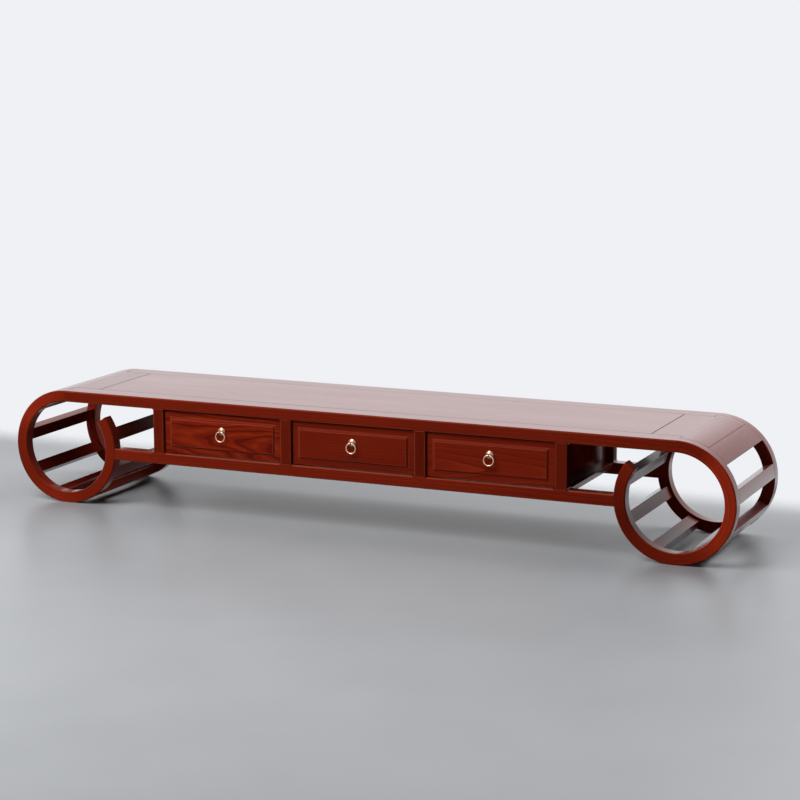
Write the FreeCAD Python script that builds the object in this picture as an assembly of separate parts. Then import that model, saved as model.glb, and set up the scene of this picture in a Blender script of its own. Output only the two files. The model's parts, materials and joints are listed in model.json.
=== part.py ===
import FreeCAD, Part
import os
from math import asin, cos, degrees, radians, sin

# A low television cabinet whose top rolls down into an open scroll at each end.
# Millimetres. X runs along the cabinet, Y from the front to the back, Z up from the floor.
# The origin is under the middle of the whole, pulls included.

# Overall size
length = 2200.0             # over the two scrolls
depth = 420.0               # front face to rear face of the frame
height = 335.0              # floor to top

# Members of the front and rear frames
band_width = 32.5           # face of a top rail, and of the scrolls that carry it on
lower_rail_height = 33.0
post_width = 34.0
frame_depth = 34.0          # scrolls, posts and lower rails, front to back
top_rail_depth = 62.0       # the top rails are wider planks than the rest of the frame
arris = 2.5                 # chamfer along the edges that show
drawer_opening_width = 377.0
drawer_opening_height = 127.5

# Scrolls, slats and end boards. Angles are in degrees round the scroll's centre.
tip_rise = 36.0             # where the scroll ends, above the level of its centre
foot_flat = 1.0             # planed off the bottom of each scroll, so that it stands
slat_count = 6
slat_width = 40.0           # along the rim
slat_thickness = 25.0
first_slat_rise = 8.5       # outermost slat's middle, above the level of the centre
last_slat_below_tip = 19.5
upper_board_span = 28.5     # how far round the rim the upper end board reaches
lower_board_span = 22.0
end_board_flat = 84.5       # level part of the upper end board

# Panels
top_panel_thickness = 20.0
tongue_thickness = 8.0
tongue_length = 8.0
tongue_drop = 6.0           # from the top face down to the tongue
case_end_thickness = 14.0
partition_thickness = 14.0
back_panel_thickness = 10.0
back_panel_inset = 14.0     # from the rear face
back_panel_groove = 6.0

# Runners that carry the drawers
runner_thickness = 14.0
runner_bearing = 20.0       # how far a runner reaches under a drawer's side
guide_height = 12.0         # rib between two drawers, as wide as the posts

# Joinery
fit = 0.2                   # play of a tenon, tongue or panel in its slot
tenon_length = 16.0
tenon_thickness = 10.0
post_tenon_width = 16.0
slat_tenon_width = 24.0
runner_tenon_length = 6.0
runner_tenon_thickness = 7.0

# Drawers
drawer_play = 2.5           # between a drawer and the opening, on each side
seat_gap = 0.3              # between a drawer's sides and its runners
drawer_recess = 8.0         # border of a drawer front, behind the frame's face
drawer_front_thickness = 20.0
border_width = 17.0         # flat border round the raised field
field_rise = 5.0
field_bevel = 6.0
drawer_side_thickness = 12.0
drawer_headroom = 24.0      # opening's top down to the drawer's sides
drawer_back_drop = 8.0      # sides' top down to the drawer's back
drawer_rear_gap = 6.0       # drawer's back to the rear posts
drawer_bottom_thickness = 6.0
drawer_bottom_lift = 8.0    # sides' lower edge up to the bottom
drawer_groove = 5.0         # depth of the groove that holds the bottom

# Ring pulls
ring_diameter = 32.0        # outside
wire_radius = 1.8
eye_play = 0.5              # wire in the eye
eye_wall = 2.1
eye_width = 4.0
eye_reach = 9.0             # eye's centre, in front of the raised field
dome_radius = 11.5
dome_height = 6.5
dome_rim = 1.2
shank_radius = 2.5
rivet_radius = 6.0
rivet_thickness = 2.0

# Places that follow from the sizes
ring_radius = ring_diameter / 2 - wire_radius
eye_radius = wire_radius + eye_play + eye_wall
pull_reach = eye_reach + eye_radius - (drawer_recess - field_rise)
front = (pull_reach - depth) / 2
rear = front + depth
middle = (front + rear) / 2
inner_front = front + frame_depth
inner_rear = rear - frame_depth
panel_front = front + top_rail_depth
panel_rear = rear - top_rail_depth

lintel = height - band_width
sill = lintel - drawer_opening_height
lower_rail_base = sill - lower_rail_height
panel_under = height - top_panel_thickness
tongue_top = height - tongue_drop

scroll_radius = (height + foot_flat) / 2
scroll_bore = scroll_radius - band_width
scroll_x = length / 2 - scroll_radius
scroll_z = height - scroll_radius
panel_half = scroll_x - end_board_flat
tip_angle = -180.0 - tip_rise
rim_tenon = scroll_radius - slat_thickness / 2

drawer_pitch = drawer_opening_width + post_width
inner_post_x = drawer_pitch / 2
outer_post_x = inner_post_x + drawer_pitch
case_end_x = outer_post_x - post_width / 2
bay_x = outer_post_x + post_width / 2
drawer_face = front + drawer_recess
field_face = drawer_face - field_rise
drawer_inside = drawer_face + drawer_front_thickness
drawer_end = inner_rear - drawer_rear_gap
side_base = sill + seat_gap
side_top = lintel - drawer_headroom
bottom_base = side_base + drawer_bottom_lift
bottom_top = bottom_base + drawer_bottom_thickness
ring_z = (sill + lintel) / 2
eye_z = ring_z + ring_radius
eye_y = field_face - eye_reach

V = FreeCAD.Vector
along_x = V(1, 0, 0)
along_y = V(0, 1, 0)
scroll_centre = V(scroll_x, 0, scroll_z)


def block(x0, x1, y0, y1, z0, z1):
    """A plank between two corners."""
    return Part.makeBox(x1 - x0, y1 - y0, z1 - z0, V(x0, y0, z0))


def grown(x0, x1, y0, y1, z0, z1, play):
    """The slot for a plank: the plank, larger by the play on every side."""
    return block(x0 - play, x1 + play, y0 - play, y1 + play, z0 - play, z1 + play)


def joined(*shapes):
    """One piece of wood or metal made of several simple shapes."""
    whole = shapes[0].fuse(list(shapes[1:]))
    return whole.removeSplitter().Solids[0]


def without(shape, cutters):
    """A piece with its slots, holes and chamfers cut."""
    return shape.cut(cutters).removeSplitter().Solids[0]


def left_of(shape):
    """The left-hand twin of a right-hand piece."""
    return shape.mirror(V(0, 0, 0), along_x)


def rear_of(shape):
    """The rear twin of a front piece."""
    return shape.mirror(V(0, middle, 0), along_y)


def rim_sector(r0, r1, high, low, y0, y1):
    """A stretch of the right-hand scroll's rim, from the angle high round to the angle low."""
    corners = []
    for r, y in ((r0, y0), (r1, y0), (r1, y1), (r0, y1)):
        corners.append(V(scroll_x + r * cos(radians(high)), y, scroll_z + r * sin(radians(high))))
    face = Part.Face(Part.makePolygon(corners + corners[:1]))
    return face.revolve(scroll_centre, along_y, high - low)


def plank_along_x(outline, x0, x1):
    """A rail: an outline of (y, z) corners drawn out along the cabinet."""
    corners = [V(x0, y, z) for y, z in outline]
    face = Part.Face(Part.makePolygon(corners + corners[:1]))
    return face.extrude(V(x1 - x0, 0, 0))


def splay(x0, x1):
    """Chamfers the front edges of an opening between the rails, mitred at its corners."""
    wide = 2 * arris
    return Part.makeWedge(x0 - wide, front - arris, sill - wide, sill, x0,
                          x1 + wide, front + arris, lintel + wide, lintel, x1)


# Joints of the frame
def post_tenon(x, play):
    """Both stub tenons of a post, as one bar through it."""
    return grown(x - post_tenon_width / 2, x + post_tenon_width / 2,
                 front + (frame_depth - tenon_thickness) / 2, front + (frame_depth + tenon_thickness) / 2,
                 sill - tenon_length, lintel + tenon_length, play)


def rail_end_tenon(play):
    """The tenon at the start of the right-hand scroll, which enters the top rail's end."""
    level = height - band_width / 2
    return grown(scroll_x - tenon_length, scroll_x + tenon_length,
                 front + (frame_depth - tenon_thickness) / 2, front + (frame_depth + tenon_thickness) / 2,
                 level - tenon_thickness / 2, level + tenon_thickness / 2, play)


def lower_rail_tenon(play):
    """The tenon at the right-hand end of the lower rail, which enters the scroll's side."""
    shoulder = scroll_x - scroll_radius
    level = sill - lower_rail_height / 2
    return grown(shoulder - tenon_length, shoulder + tenon_length,
                 front + (frame_depth - tenon_thickness) / 2, front + (frame_depth + tenon_thickness) / 2,
                 level - tenon_thickness / 2, level + tenon_thickness / 2, play)


def slat_angles():
    """The middles of the slats, evenly spaced round the open part of the rim."""
    last = tip_angle + last_slat_below_tip
    step = (last - first_slat_rise) / (slat_count - 1)
    return [first_slat_rise + step * i for i in range(slat_count)]


def slat_tenon(angle, play):
    """Both tenons of a slat, as one bar through it into the two scrolls."""
    half = degrees((slat_tenon_width / 2 + play) / scroll_radius)
    half_thickness = tenon_thickness / 2 + play
    return rim_sector(rim_tenon - half_thickness, rim_tenon + half_thickness, angle + half, angle - half,
                      inner_front - tenon_length - play, inner_rear + tenon_length + play)


def runner_tenon(x0, x1, play):
    """Both stub tenons of a runner, as one bar through it into the two lower rails."""
    base = sill - runner_thickness
    return grown(x0, x1, inner_front - runner_tenon_length, inner_rear + runner_tenon_length,
                 base, base + runner_tenon_thickness, play)


inner_runner = (inner_post_x - post_width / 2 - runner_bearing, inner_post_x + post_width / 2 + runner_bearing)
outer_runner = (case_end_x - runner_bearing, bay_x)


def runner_slots():
    """The slots for all the runners' tenons."""
    right = [runner_tenon(*inner_runner, fit), runner_tenon(*outer_runner, fit)]
    return right + [left_of(slot) for slot in right]


def panel_tongue(play):
    """The tongue that runs round the top panel."""
    return grown(-panel_half - tongue_length, panel_half + tongue_length,
                 panel_front - tongue_length, panel_rear + tongue_length,
                 tongue_top - tongue_thickness, tongue_top, play)


def opening_edges():
    """The two sides of each drawer opening, from left to right."""
    half = drawer_opening_width / 2
    return [(x - half, x + half) for x in (-drawer_pitch, 0.0, drawer_pitch)]


def back_panel(x0, x1, play):
    """The panel that closes the case behind one drawer, held in grooves all round."""
    return grown(x0 - back_panel_groove, x1 + back_panel_groove,
                 rear - back_panel_inset - back_panel_thickness, rear - back_panel_inset,
                 sill - back_panel_groove, lintel + back_panel_groove, play)


def chamfers():
    """The mitred chamfers round the drawer openings and the open bays beside the scrolls."""
    cutters = [splay(x0, x1) for x0, x1 in opening_edges()]
    return cutters + [splay(bay_x, scroll_x), splay(-scroll_x, -bay_x)]


# Pieces of the frame
post_places = {"outer_left": -outer_post_x, "inner_left": -inner_post_x,
               "inner_right": inner_post_x, "outer_right": outer_post_x}


def top_rail():
    """The front top rail, from one scroll to the other."""
    outline = [(front, lintel), (front, height - arris), (front + arris, height),
               (panel_front, height), (panel_front, lintel)]
    rail = plank_along_x(outline, -scroll_x, scroll_x)
    slots = [post_tenon(x, fit) for x in post_places.values()]
    slots += [rail_end_tenon(fit), left_of(rail_end_tenon(fit)), panel_tongue(fit)]
    return without(rail, slots + chamfers())


def lower_rail():
    """The front lower rail, coped to the round sides of the two scrolls."""
    outline = [(front + arris, lower_rail_base), (front, lower_rail_base + arris), (front, sill),
               (inner_front, sill), (inner_front, lower_rail_base)]
    rail = plank_along_x(outline, -scroll_x, scroll_x)
    disc = Part.makeCylinder(scroll_radius, depth, V(scroll_x, front, scroll_z), along_y)
    slots = [post_tenon(x, fit) for x in post_places.values()]
    rail = without(rail, [disc, left_of(disc)] + slots + runner_slots() + chamfers())
    return joined(rail, lower_rail_tenon(0), left_of(lower_rail_tenon(0)))


def post(x):
    """A front post between the two rails."""
    body = block(x - post_width / 2, x + post_width / 2, front, inner_front, sill, lintel)
    return joined(without(body, chamfers()), post_tenon(x, 0))


def scroll():
    """The front right scroll: the band's section swept from the top rail round to the tip."""
    section = [(scroll_radius, front + arris), (scroll_radius, inner_front), (scroll_bore, inner_front),
               (scroll_bore, front + arris), (scroll_bore + arris, front), (scroll_radius - arris, front)]
    corners = [V(scroll_x, y, scroll_z + r) for r, y in section]
    face = Part.Face(Part.makePolygon(corners + corners[:1]))
    ring = face.revolve(scroll_centre, along_y, 90.0 - tip_angle)
    floor = block(scroll_x - scroll_radius, scroll_x + scroll_radius, front, inner_front, -scroll_radius, 0)
    slots = [slat_tenon(angle, fit) for angle in slat_angles()]
    return joined(without(ring, [floor, lower_rail_tenon(fit)] + slots), rail_end_tenon(0))


def slat(angle):
    """A slat across the right-hand end, flush with the two rims and tenoned into them."""
    half = degrees(slat_width / 2 / scroll_radius)
    body = rim_sector(scroll_radius - slat_thickness, scroll_radius, angle + half, angle - half,
                      inner_front, inner_rear)
    return joined(body, slat_tenon(angle, 0))


def upper_end_board():
    """The board that carries the top on from its panel and over the start of the curve."""
    level = block(panel_half, scroll_x, panel_front, panel_rear, panel_under, height)
    curved = rim_sector(scroll_radius - top_panel_thickness, scroll_radius, 90, 90 - upper_board_span,
                        inner_front, inner_rear)
    return without(joined(level, curved), [panel_tongue(fit)])


def lower_end_board():
    """The next board round the curve."""
    high = 90 - upper_board_span
    return rim_sector(scroll_radius - top_panel_thickness, scroll_radius, high, high - lower_board_span,
                      inner_front, inner_rear)


def top_panel():
    """The long floating panel, with a tongue all round."""
    board = block(-panel_half, panel_half, panel_front, panel_rear, panel_under, height)
    return joined(board, panel_tongue(0))


# Pieces of the drawer case
def case_wall(x0, x1, base):
    """An upright board between the front and rear posts, up to the rails and the top panel."""
    return joined(block(x0, x1, inner_front, inner_rear, base, lintel),
                  block(x0, x1, panel_front, panel_rear, lintel, panel_under))


def runner(x0, x1):
    """A runner plank, level with the lower rails."""
    plank = block(x0, x1, inner_front, inner_rear, sill - runner_thickness, sill)
    return joined(plank, runner_tenon(x0, x1, 0))


def middle_runner():
    """The runner between two drawers, with the rib that guides their sides."""
    rib = block(inner_post_x - post_width / 2, inner_post_x + post_width / 2,
                inner_front, inner_rear, sill, sill + guide_height)
    return joined(runner(*inner_runner), rib)


# Pieces of a drawer, each for the drawer whose middle is at x
def drawer_edges(x):
    """The two outer sides of a drawer."""
    half = drawer_opening_width / 2 - drawer_play
    return x - half, x + half


def drawer_bottom(x, play):
    """The thin bottom, in grooves in the front and the sides."""
    x0, x1 = drawer_edges(x)
    inset = drawer_side_thickness - drawer_groove
    return grown(x0 + inset, x1 - inset, drawer_inside - drawer_groove, drawer_end,
                 bottom_base, bottom_top, play)


def drawer_front(x):
    """The front: a border and a raised field with bevelled edges."""
    x0, x1 = drawer_edges(x)
    z0 = sill + drawer_play
    z1 = lintel - drawer_play
    plank = block(x0, x1, drawer_face, drawer_inside, z0, z1)
    inset = border_width + field_bevel
    field = Part.makeWedge(x0 + inset, field_face, z0 + inset, z0 + border_width, x0 + border_width,
                           x1 - inset, drawer_face, z1 - inset, z1 - border_width, x1 - border_width)
    hole = Part.makeCylinder(shank_radius + fit, field_rise + drawer_front_thickness,
                             V(x, field_face, eye_z), along_y)
    return without(joined(plank, field), [hole, drawer_bottom(x, fit)])


def drawer_sides(x):
    """The two sides."""
    x0, x1 = drawer_edges(x)
    sides = []
    for edge in (x0, x1 - drawer_side_thickness):
        board = block(edge, edge + drawer_side_thickness, drawer_inside, drawer_end, side_base, side_top)
        sides.append(without(board, [drawer_bottom(x, fit)]))
    return Part.makeCompound(sides)


def drawer_back(x):
    """The back, between the sides and on the bottom."""
    x0, x1 = drawer_edges(x)
    return block(x0 + drawer_side_thickness, x1 - drawer_side_thickness,
                 drawer_end - drawer_side_thickness, drawer_end, bottom_top, side_top - drawer_back_drop)


def pull_base(x):
    """A domed rose with an eye on it, riveted through the drawer front."""
    seat = field_face
    rise = dome_height - dome_rim
    sphere = (dome_radius ** 2 + rise ** 2) / (2 * rise)
    half_slope = asin(dome_radius / sphere) / 2
    crown = V(x, seat - dome_height, eye_z)
    rim = V(x + dome_radius, seat - dome_rim, eye_z)
    shoulder = V(x + sphere * sin(half_slope), crown.y + sphere * (1 - cos(half_slope)), eye_z)
    foot = V(x + dome_radius, seat, eye_z)
    centre = V(x, seat, eye_z)
    outline = Part.Wire([Part.makeLine(centre, foot), Part.makeLine(foot, rim),
                         Part.Arc(rim, shoulder, crown).toShape(), Part.makeLine(crown, centre)])
    dome = Part.Face(outline).revolve(centre, along_y, 360)
    eye = Part.makeCylinder(eye_radius, eye_width, V(x - eye_width / 2, eye_y, eye_z), along_x)
    hole = Part.makeCylinder(wire_radius + eye_play, eye_width, V(x - eye_width / 2, eye_y, eye_z), along_x)
    shank = Part.makeCylinder(shank_radius, drawer_inside - seat + rivet_thickness, centre, along_y)
    rivet = Part.makeCylinder(rivet_radius, rivet_thickness, V(x, drawer_inside, eye_z), along_y)
    return without(joined(dome, eye, shank, rivet), [hole])


def pull_ring(x):
    """The ring, hanging in the eye."""
    return Part.makeTorus(ring_radius, wire_radius, V(x, eye_y, ring_z), along_y)


def save(node, shape):
    """Writes one node and says what is in it."""
    shape.exportStep("parts/" + node + ".step")
    print(node, len(shape.Solids), "solid", round(shape.Volume / 1000.0, 1), "cm3", shape.isValid())


os.makedirs("parts", exist_ok=True)

back_panels = [back_panel(x0, x1, 0) for x0, x1 in opening_edges()]
back_grooves = [back_panel(x0, x1, fit) for x0, x1 in opening_edges()]

for name, piece in (("top_rail", top_rail()), ("lower_rail", lower_rail())):
    save(name + "_front", piece)
    save(name + "_rear", without(rear_of(piece), back_grooves))

for name, x in post_places.items():
    piece = post(x)
    save("post_front_" + name, piece)
    save("post_rear_" + name, without(rear_of(piece), back_grooves))

right_scroll = scroll()
save("scroll_front_right", right_scroll)
save("scroll_front_left", left_of(right_scroll))
save("scroll_rear_right", rear_of(right_scroll))
save("scroll_rear_left", left_of(rear_of(right_scroll)))

sided = {"end_board_upper": upper_end_board(), "end_board_lower": lower_end_board(),
         "case_end": case_wall(case_end_x, case_end_x + case_end_thickness, sill),
         "partition": case_wall(inner_post_x - partition_thickness / 2, inner_post_x + partition_thickness / 2,
                                sill + guide_height),
         "runner_inner": middle_runner(), "runner_outer": runner(*outer_runner)}
for name, piece in sided.items():
    save(name + "_right", piece)
    save(name + "_left", left_of(piece))

for i, angle in enumerate(slat_angles()):
    piece = slat(angle)
    save("slat_right_%d" % (i + 1), piece)
    save("slat_left_%d" % (i + 1), left_of(piece))

save("top_panel", top_panel())
save("back_panels", Part.makeCompound(back_panels))

for name, x in (("left", -drawer_pitch), ("centre", 0.0), ("right", drawer_pitch)):
    save("drawer_%s_front" % name, drawer_front(x))
    save("drawer_%s_sides" % name, drawer_sides(x))
    save("drawer_%s_back" % name, drawer_back(x))
    save("drawer_%s_bottom" % name, drawer_bottom(x, 0))
    save("pull_%s_base" % name, pull_base(x))
    save("pull_%s_ring" % name, pull_ring(x))
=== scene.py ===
# %% [markdown]
# This lesson dresses a low television cabinet in red lacquered ash. Its top runs level and rolls down
# at each end into an open scroll, and three drawers with brass ring pulls hang between the scrolls.
# The frame that is loaded first holds every piece as plain solids in metres, with X along the cabinet,
# Y from front to back and Z up. Each step below models one kind of piece anew, at the place that the
# frame gives, with the softened edges and the wood grain that the plain solids lack.

import json
import math
import random

import bmesh
import bpy
from mathutils import Matrix, Vector
from numpy import interp

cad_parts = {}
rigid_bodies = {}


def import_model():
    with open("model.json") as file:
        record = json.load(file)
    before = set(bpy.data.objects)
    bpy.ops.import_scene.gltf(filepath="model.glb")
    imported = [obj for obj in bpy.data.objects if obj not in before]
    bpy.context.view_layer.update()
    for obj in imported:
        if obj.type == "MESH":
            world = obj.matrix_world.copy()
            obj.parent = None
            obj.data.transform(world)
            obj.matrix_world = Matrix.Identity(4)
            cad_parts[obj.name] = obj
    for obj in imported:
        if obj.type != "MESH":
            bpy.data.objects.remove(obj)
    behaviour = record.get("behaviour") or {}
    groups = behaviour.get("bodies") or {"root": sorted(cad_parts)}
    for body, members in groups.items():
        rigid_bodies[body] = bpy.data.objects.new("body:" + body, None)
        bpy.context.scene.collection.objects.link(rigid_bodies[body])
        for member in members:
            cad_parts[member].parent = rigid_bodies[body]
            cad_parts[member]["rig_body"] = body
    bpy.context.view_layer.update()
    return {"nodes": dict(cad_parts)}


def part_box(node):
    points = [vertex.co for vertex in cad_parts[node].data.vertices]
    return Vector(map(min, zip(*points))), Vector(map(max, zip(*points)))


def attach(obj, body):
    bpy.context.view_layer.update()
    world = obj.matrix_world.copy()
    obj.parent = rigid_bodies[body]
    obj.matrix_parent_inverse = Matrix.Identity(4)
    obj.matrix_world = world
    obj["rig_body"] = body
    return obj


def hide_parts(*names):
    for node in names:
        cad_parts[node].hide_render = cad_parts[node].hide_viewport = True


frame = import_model()

# %% [markdown]
# The sizes of the new pieces are read from the frame's boxes. A box includes the hidden tenons, so the
# shoulders of a post are taken from the rails that it stands between, and those of a slat from the
# depth of the lower rails. The few sizes that no box gives are named where they are first needed.

# %% Sizes
mm = 0.001
arris = 2.5 * mm            # chamfer on the edges that show
scroll_tip_rise = 36.0      # degrees above the level of the scroll's centre, where it ends

rail_low, rail_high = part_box("top_rail_front")
front = rail_low.y
lintel = rail_low.z
height = rail_high.z
panel_front = rail_high.y
scroll_x = rail_high.x

lower_low, lower_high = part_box("lower_rail_front")
inner_front = lower_high.y
lower_base = lower_low.z
sill = lower_high.z

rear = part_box("top_rail_rear")[1].y
panel_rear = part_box("top_rail_rear")[0].y
inner_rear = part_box("lower_rail_rear")[0].y
middle = (front + rear) / 2

scroll_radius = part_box("scroll_front_right")[1].x - scroll_x
scroll_z = height - scroll_radius
band = height - lintel
print("scroll radius %.1f mm, band %.1f mm" % (scroll_radius / mm, band / mm))

# %% [markdown]
# Colours are picked as sRGB hex values, because that is what the eye compares, and shaders take linear
# light, so one function turns the first into the second. A material is a tree of nodes. It could be
# clicked together in the editor. In a script, one small function that adds a node, sets it and links
# it keeps each material short enough to read.

# %% Colours and nodes
def colour(code):
    """An sRGB hex value as the linear colour that a shader takes."""
    channels = [int(code[i:i + 2], 16) / 255 for i in (1, 3, 5)]
    linear = [c / 12.92 if c <= 0.04045 else ((c + 0.055) / 1.055) ** 2.4 for c in channels]
    return (*linear, 1.0)


def add_node(tree, kind, inputs=None, **settings):
    """Adds a node, sets its properties, and sets or links its sockets."""
    node = tree.nodes.new(kind)
    for name, value in settings.items():
        setattr(node, name, value)
    for name, value in (inputs or {}).items():
        if isinstance(value, bpy.types.NodeSocket):
            tree.links.new(value, node.inputs[name])
        else:
            node.inputs[name].default_value = value
    return node


def new_material(name):
    """An empty material and its tree."""
    material = bpy.data.materials.new(name)
    material.use_nodes = True
    material.node_tree.nodes.clear()
    return material, material.node_tree


def set_ramp(node, stops):
    """Gives a colour ramp its stops, as pairs of place and hex colour."""
    elements = node.color_ramp.elements
    while len(elements) < len(stops):
        elements.new(0.5)
    for element, (place, code) in zip(elements, stops):
        element.position = place
        element.color = colour(code)


print("white is", colour("#FFFFFF"))

# %% [markdown]
# The wood is ash, a ring-porous timber, stained deep red-brown under a rubbed semi-gloss lacquer. To
# the eye that gives long streaks, darker where the open pores of each year's early wood drank the
# stain, and a clear coat that mirrors pale walls at a low angle and stays dark head on, so the coat is
# weighted by how far a face turns away. The streaks could be painted as an image. Here every piece
# carries an attribute named grain instead: its own coordinates with the first one along the wood's
# length, so that one material follows straight rails and bent scrolls alike, and the growth rings are
# real rings round a log's axis that each face cuts.

# %% Lacquered ash
ring_spacing = 8.0 * mm     # growth rings; real ones are nearer 4 mm, coarser here so that they show
wave_turns = 2 * math.pi / 20   # a wave texture of scale 1 has this period
log_tilt = (0.0, 0.25, 0.35)    # radians; no board is sawn quite along its log
pore_length = 30.0 * mm
pore_width = 1.6 * mm       # real pores are 0.3 mm wide, too fine for the picture
pore_stain = 0.3            # how far an open pore darkens
blotch_shape = (0.3, 1.6, 1.6)  # the mottling's scale along and across the grain
plain_cut = {"stretch": 0.09, "waver": 9.0, "blotch": 160 * mm, "profile": "SAW"}
flat_cut = {"stretch": 0.22, "waver": 14.0, "blotch": 22 * mm, "profile": "SIN"}

pore_colour = "#220502"
painted_shade_colour = "#1E0502"     # painted shade: seams and faces out of the light, darker
rubbed_highlight_colour = "#8E4432"   # where the lacquer is rubbed thin; pale enough to paint a highlight along edges
sheen_power = 6.0           # how late the gloss rises as a face turns away
sheen_full = 0.2            # where it is full, on that curve
sheen_least = 0.006         # what is left of it head on
under_gloss = 0.6           # gloss of the wood under the coat, as a share of the coat's


def wood_figure(tree, stretch, waver, blotch, profile):
    """The growth rings, pores and slow mottling of a board, from its grain coordinates and its cut."""
    grain = add_node(tree, "ShaderNodeAttribute", attribute_name="grain").outputs["Vector"]
    log = add_node(tree, "ShaderNodeMapping", {
        "Vector": grain, "Rotation": log_tilt, "Scale": (stretch, 1.0, 1.0)})
    rings = add_node(tree, "ShaderNodeTexWave", {
        "Vector": log.outputs["Vector"], "Scale": wave_turns / ring_spacing, "Distortion": waver,
        "Detail": 2.0, "Detail Scale": 0.35, "Detail Roughness": 0.55},
        wave_type="RINGS", rings_direction="X", wave_profile=profile)
    along = add_node(tree, "ShaderNodeMapping", {
        "Vector": grain, "Scale": (1 / pore_length, 1 / pore_width, 1 / pore_width)})
    pores = add_node(tree, "ShaderNodeTexNoise", {
        "Vector": along.outputs["Vector"], "Scale": 1.0, "Detail": 2.0, "Roughness": 0.6})
    drift = add_node(tree, "ShaderNodeMapping", {
        "Vector": grain, "Scale": [share / blotch for share in blotch_shape]})
    mottle = add_node(tree, "ShaderNodeTexNoise", {
        "Vector": drift.outputs["Vector"], "Scale": 1.0, "Detail": 3.0, "Roughness": 0.5})
    return rings.outputs["Fac"], pores.outputs["Fac"], mottle.outputs["Fac"]


def lacquered_ash(name, cut, early, stain, late):
    """Stained ash under lacquer: its cut, and the colours of its early wood, body and late wood."""
    material, tree = new_material(name)
    rings, pores, mottle = wood_figure(tree, **cut)
    body = add_node(tree, "ShaderNodeValToRGB", {"Fac": rings})
    set_ramp(body, [(0.0, early), (0.22, stain), (0.7, stain), (1.0, late)])
    drifted = add_node(tree, "ShaderNodeMix", {
        "Factor": add_node(tree, "ShaderNodeMapRange", {
            "Value": mottle, "From Min": 0.35, "From Max": 0.7, "To Max": 0.5}).outputs["Result"],
        "A": body.outputs["Color"], "B": colour(early)}, data_type="RGBA")
    open_pore = add_node(tree, "ShaderNodeMapRange", {
        "Value": pores, "From Min": 0.56, "From Max": 0.74})
    darkened = add_node(tree, "ShaderNodeMix", {
        "Factor": add_node(tree, "ShaderNodeMath", {
            0: open_pore.outputs["Result"], 1: pore_stain}, operation="MULTIPLY").outputs["Value"],
        "A": drifted.outputs["Result"], "B": colour(pore_colour)}, data_type="RGBA")
    toned = add_node(tree, "ShaderNodeHueSaturation", {
        "Color": darkened.outputs["Result"],
        "Value": add_node(tree, "ShaderNodeAttribute", attribute_name="tone").outputs["Fac"]})
    wear_and_light = add_node(tree, "ShaderNodeAttribute", attribute_name="wear_and_painted_light").outputs["Fac"]
    worn_and_lit = add_node(tree, "ShaderNodeMath", {0: wear_and_light, 1: mottle}, operation="MULTIPLY", use_clamp=True)
    painted_shade = add_node(tree, "ShaderNodeMath", {0: wear_and_light, 1: -1.0}, operation="MULTIPLY", use_clamp=True)
    facing = add_node(tree, "ShaderNodeLayerWeight", {"Blend": 0.5}).outputs["Facing"]
    turned_away = add_node(tree, "ShaderNodeMath", {0: facing, 1: sheen_power}, operation="POWER")
    sheen = add_node(tree, "ShaderNodeMapRange", {
        "Value": turned_away.outputs["Value"], "From Max": sheen_full, "To Min": sheen_least})
    # Below zero the mark is painted shade: it takes gloss away and darkens the colour.
    polish = add_node(tree, "ShaderNodeMath", {
        0: sheen.outputs["Result"], 1: painted_shade.outputs["Value"]}, operation="SUBTRACT", use_clamp=True)
    depth = add_node(tree, "ShaderNodeMath", {
        0: polish.outputs["Value"], 1: under_gloss}, operation="MULTIPLY")
    # Above zero the mark lightens the colour: edge wear, and a painted highlight too.
    edged = add_node(tree, "ShaderNodeMix", {
        "Factor": worn_and_lit.outputs["Value"], "A": toned.outputs["Color"], "B": colour(rubbed_highlight_colour)},
        data_type="RGBA")
    shaded = add_node(tree, "ShaderNodeMix", {
        "Factor": painted_shade.outputs["Value"], "A": edged.outputs["Result"], "B": colour(painted_shade_colour)},
        data_type="RGBA")
    roughness = add_node(tree, "ShaderNodeMapRange", {
        "Value": mottle, "From Min": 0.3, "From Max": 0.7, "To Min": 0.36, "To Max": 0.5})
    relief = add_node(tree, "ShaderNodeBump", {
        "Height": open_pore.outputs["Result"], "Strength": 0.25, "Distance": 0.08 * mm}, invert=True)
    shader = add_node(tree, "ShaderNodeBsdfPrincipled", {
        "Base Color": shaded.outputs["Result"], "Roughness": roughness.outputs["Result"],
        "Normal": relief.outputs["Normal"], "IOR": 1.5, "Specular IOR Level": depth.outputs["Value"],
        "Coat Weight": polish.outputs["Value"], "Coat IOR": 1.68, "Coat Roughness": 0.14})
    add_node(tree, "ShaderNodeOutputMaterial", {"Surface": shader.outputs["BSDF"]})
    return material


frame_ash = lacquered_ash("stained ash, plain cut", plain_cut, "#5A1408", "#6E1D0D", "#7C2610")
figured_ash = lacquered_ash("stained ash, flat cut", flat_cut, "#531107", "#721D0C", "#80270F")
print(len(frame_ash.node_tree.nodes), "nodes in the lacquered ash")

# %% [markdown]
# The drawers' boxes are of a pale softer wood that is sanded and waxed, not lacquered: light brown,
# with faint grain and hardly any gloss, so the ash's figure serves again under other colours. The pulls
# are cast and turned brass that was left to age: a gold metal with duller, browner patches. The rings
# get brighter colours than the roses, partly as the wear of fingers and partly as painted light:
# painted shade on the roses and painted highlights on the rings. So one function is given two sets of
# colours.

# %% Plain wood and brass
patina_size = 4.0 * mm


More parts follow.
